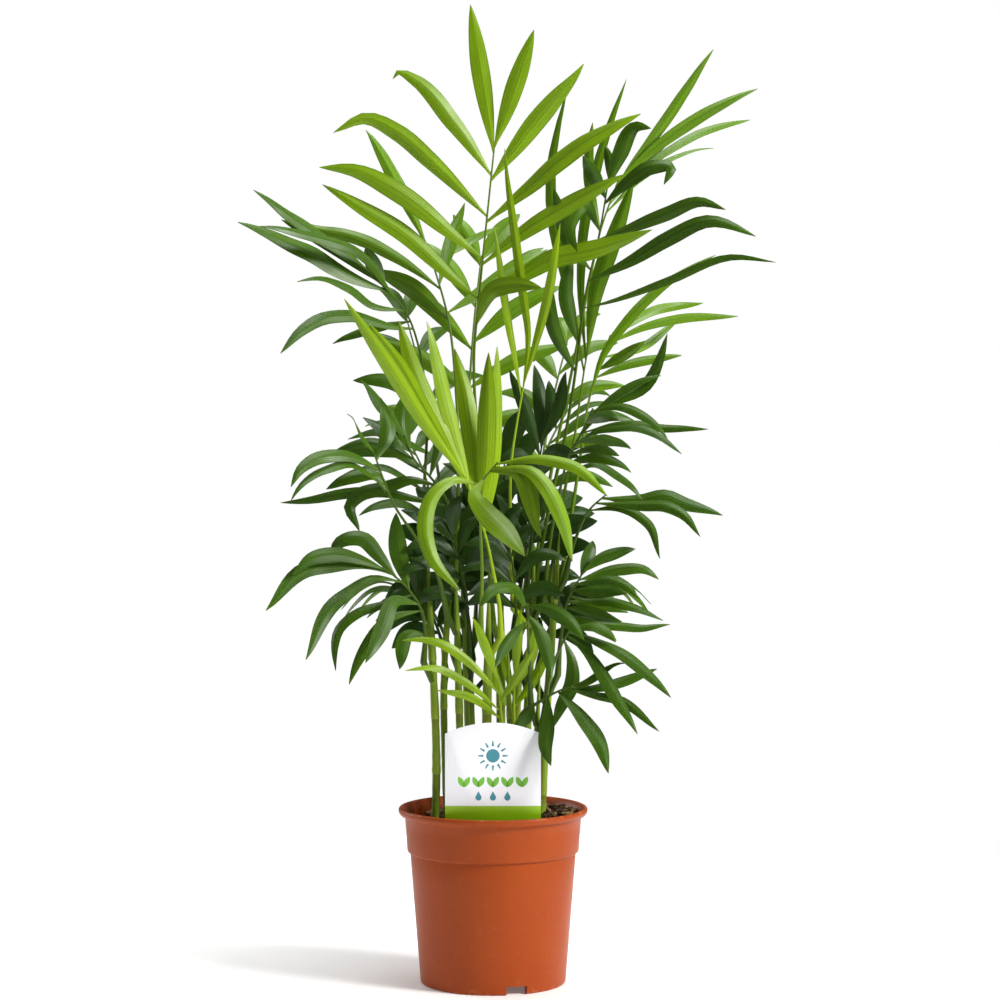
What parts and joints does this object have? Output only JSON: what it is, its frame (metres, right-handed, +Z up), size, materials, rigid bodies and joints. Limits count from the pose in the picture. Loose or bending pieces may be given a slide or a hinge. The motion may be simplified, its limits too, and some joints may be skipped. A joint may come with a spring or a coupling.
{
  "type": "potted parlour palm",
  "caption": "Bushy parlour palm with arching feather-shaped fronds in a round terracotta-coloured plastic nursery pot with soil and a plain plant label.",
  "frame": {"origin": "on the pot's axis, at the flat centre boss under the pot, in the plane that the pot stands on", "axes": "+Z up along the pot's axis, -Y towards the front, where the plant label stands, +X to the viewer's right"},
  "size_m": [0.3313, 0.2869, 0.6153],
  "materials": {
    "pot_plastic": "satin terracotta-coloured polypropylene",
    "soil": "coarse moist potting mix of bark and coir",
    "label_plastic": "smooth white card with a leaf-green band",
    "cane": "green ringed stem with pale leaf sheaths",
    "leaf_young": "soft satin leaf, yellow green",
    "leaf_fresh": "satin leaf, light green",
    "leaf_mature": "satin leaf, mid green",
    "leaf_dark": "slightly glossy leaf, dark green"
  },
  "bodies": {
    "root": {"cane_brown": "cane", "cane_centre": "cane", "cane_centre_rear": "cane", "cane_left": "cane", "cane_left_pale": "cane", "cane_low_right": "cane", "cane_rear_left": "cane", "cane_rear_right": "cane", "cane_right": "cane", "cane_slim": "cane", "cane_tall": "cane", "cane_young": "cane", "frond_bundle": "leaf_young", "frond_crown": "leaf_fresh", "frond_fan": "leaf_young", "frond_far_left": "leaf_dark", "frond_heart_left": "leaf_dark", "frond_heart_low_left": "leaf_dark", "frond_heart_low_right": "leaf_dark", "frond_heart_middle": "leaf_dark", "frond_heart_rear": "leaf_dark", "frond_heart_right": "leaf_dark", "frond_inner_dark": "leaf_dark", "frond_inner_left": "leaf_mature", "frond_inner_right": "leaf_mature", "frond_left_inner": "leaf_dark", "frond_left_middle": "leaf_dark", "frond_low_centre": "leaf_dark", "frond_low_left": "leaf_dark", "frond_low_right": "leaf_dark", "frond_lowest": "leaf_dark", "frond_rear_high_left": "leaf_dark", "frond_rear_high_right": "leaf_mature", "frond_rear_left": "leaf_dark", "frond_rear_low": "leaf_dark", "frond_rear_low_left": "leaf_dark", "frond_rear_low_right": "leaf_dark", "frond_rear_right": "leaf_dark", "frond_rear_tall": "leaf_mature", "frond_right_inner": "leaf_dark", "frond_right_low_middle": "leaf_dark", "frond_right_middle": "leaf_dark", "frond_right_upper": "leaf_mature", "frond_spear": "leaf_young", "frond_sprout": "leaf_young", "frond_tall_right": "leaf_dark", "frond_top_right": "leaf_mature", "frond_upper_left": "leaf_mature", "frond_upright_right": "leaf_mature", "frond_weeping": "leaf_fresh", "plant_label": "label_plastic", "pot": "pot_plastic", "soil": "soil"}
  },
  "joints": []
}
